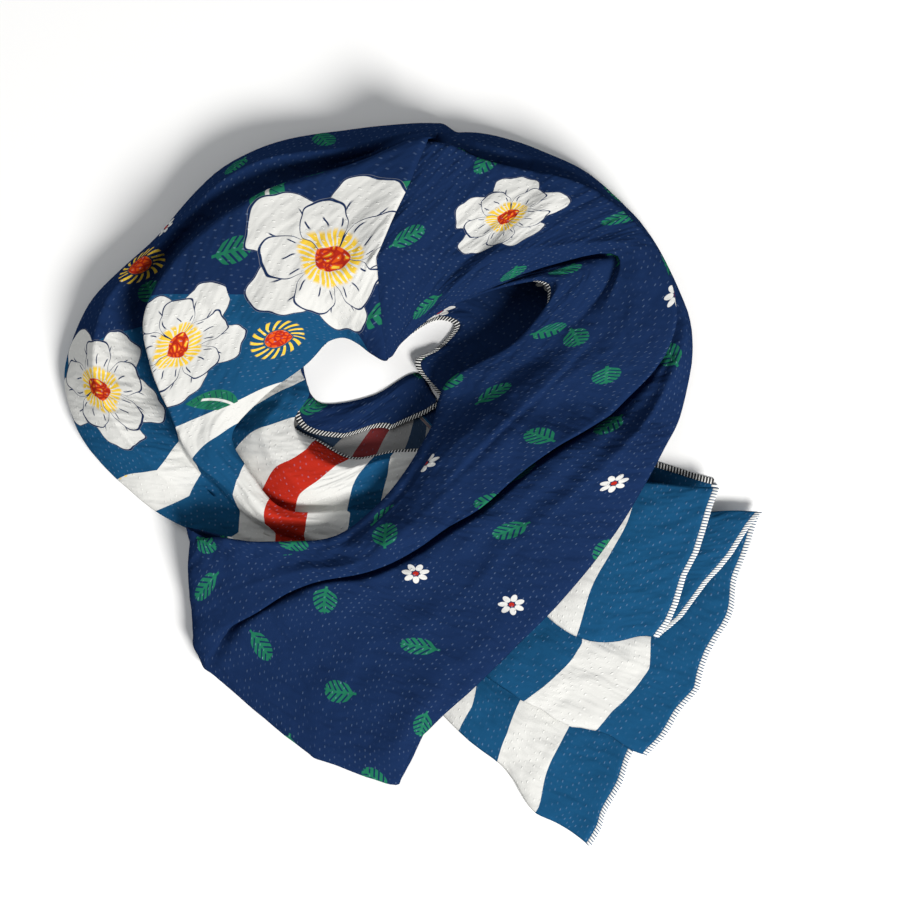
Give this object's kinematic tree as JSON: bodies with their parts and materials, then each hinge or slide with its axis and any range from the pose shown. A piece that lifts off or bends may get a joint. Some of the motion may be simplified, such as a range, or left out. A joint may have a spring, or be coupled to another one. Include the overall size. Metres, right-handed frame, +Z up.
{
  "type": "neck scarf laid flat",
  "caption": "Long printed neck scarf of thin cloth, folded lengthwise and laid flat in a loose ring, its plain end crossing over its striped end.",
  "frame": {"origin": "the middle of the laid scarf's own box, on the surface that it lies on", "axes": "+Z is up off the surface, +X is the picture's right and +Y is the picture's top"},
  "size_m": [0.4756, 0.4976, 0.0522],
  "materials": {
    "printed_cloth": "thin dobby weave, printed, soft and matt",
    "dark_overlock": "black overlock thread, matt",
    "white_overlock": "white overlock thread, matt"
  },
  "bodies": {
    "root": {"cloth": "printed_cloth", "first_long_hem": "dark_overlock", "second_long_hem": "dark_overlock", "striped_end_hem": "white_overlock", "plain_end_hem": "white_overlock"}
  },
  "joints": []
}
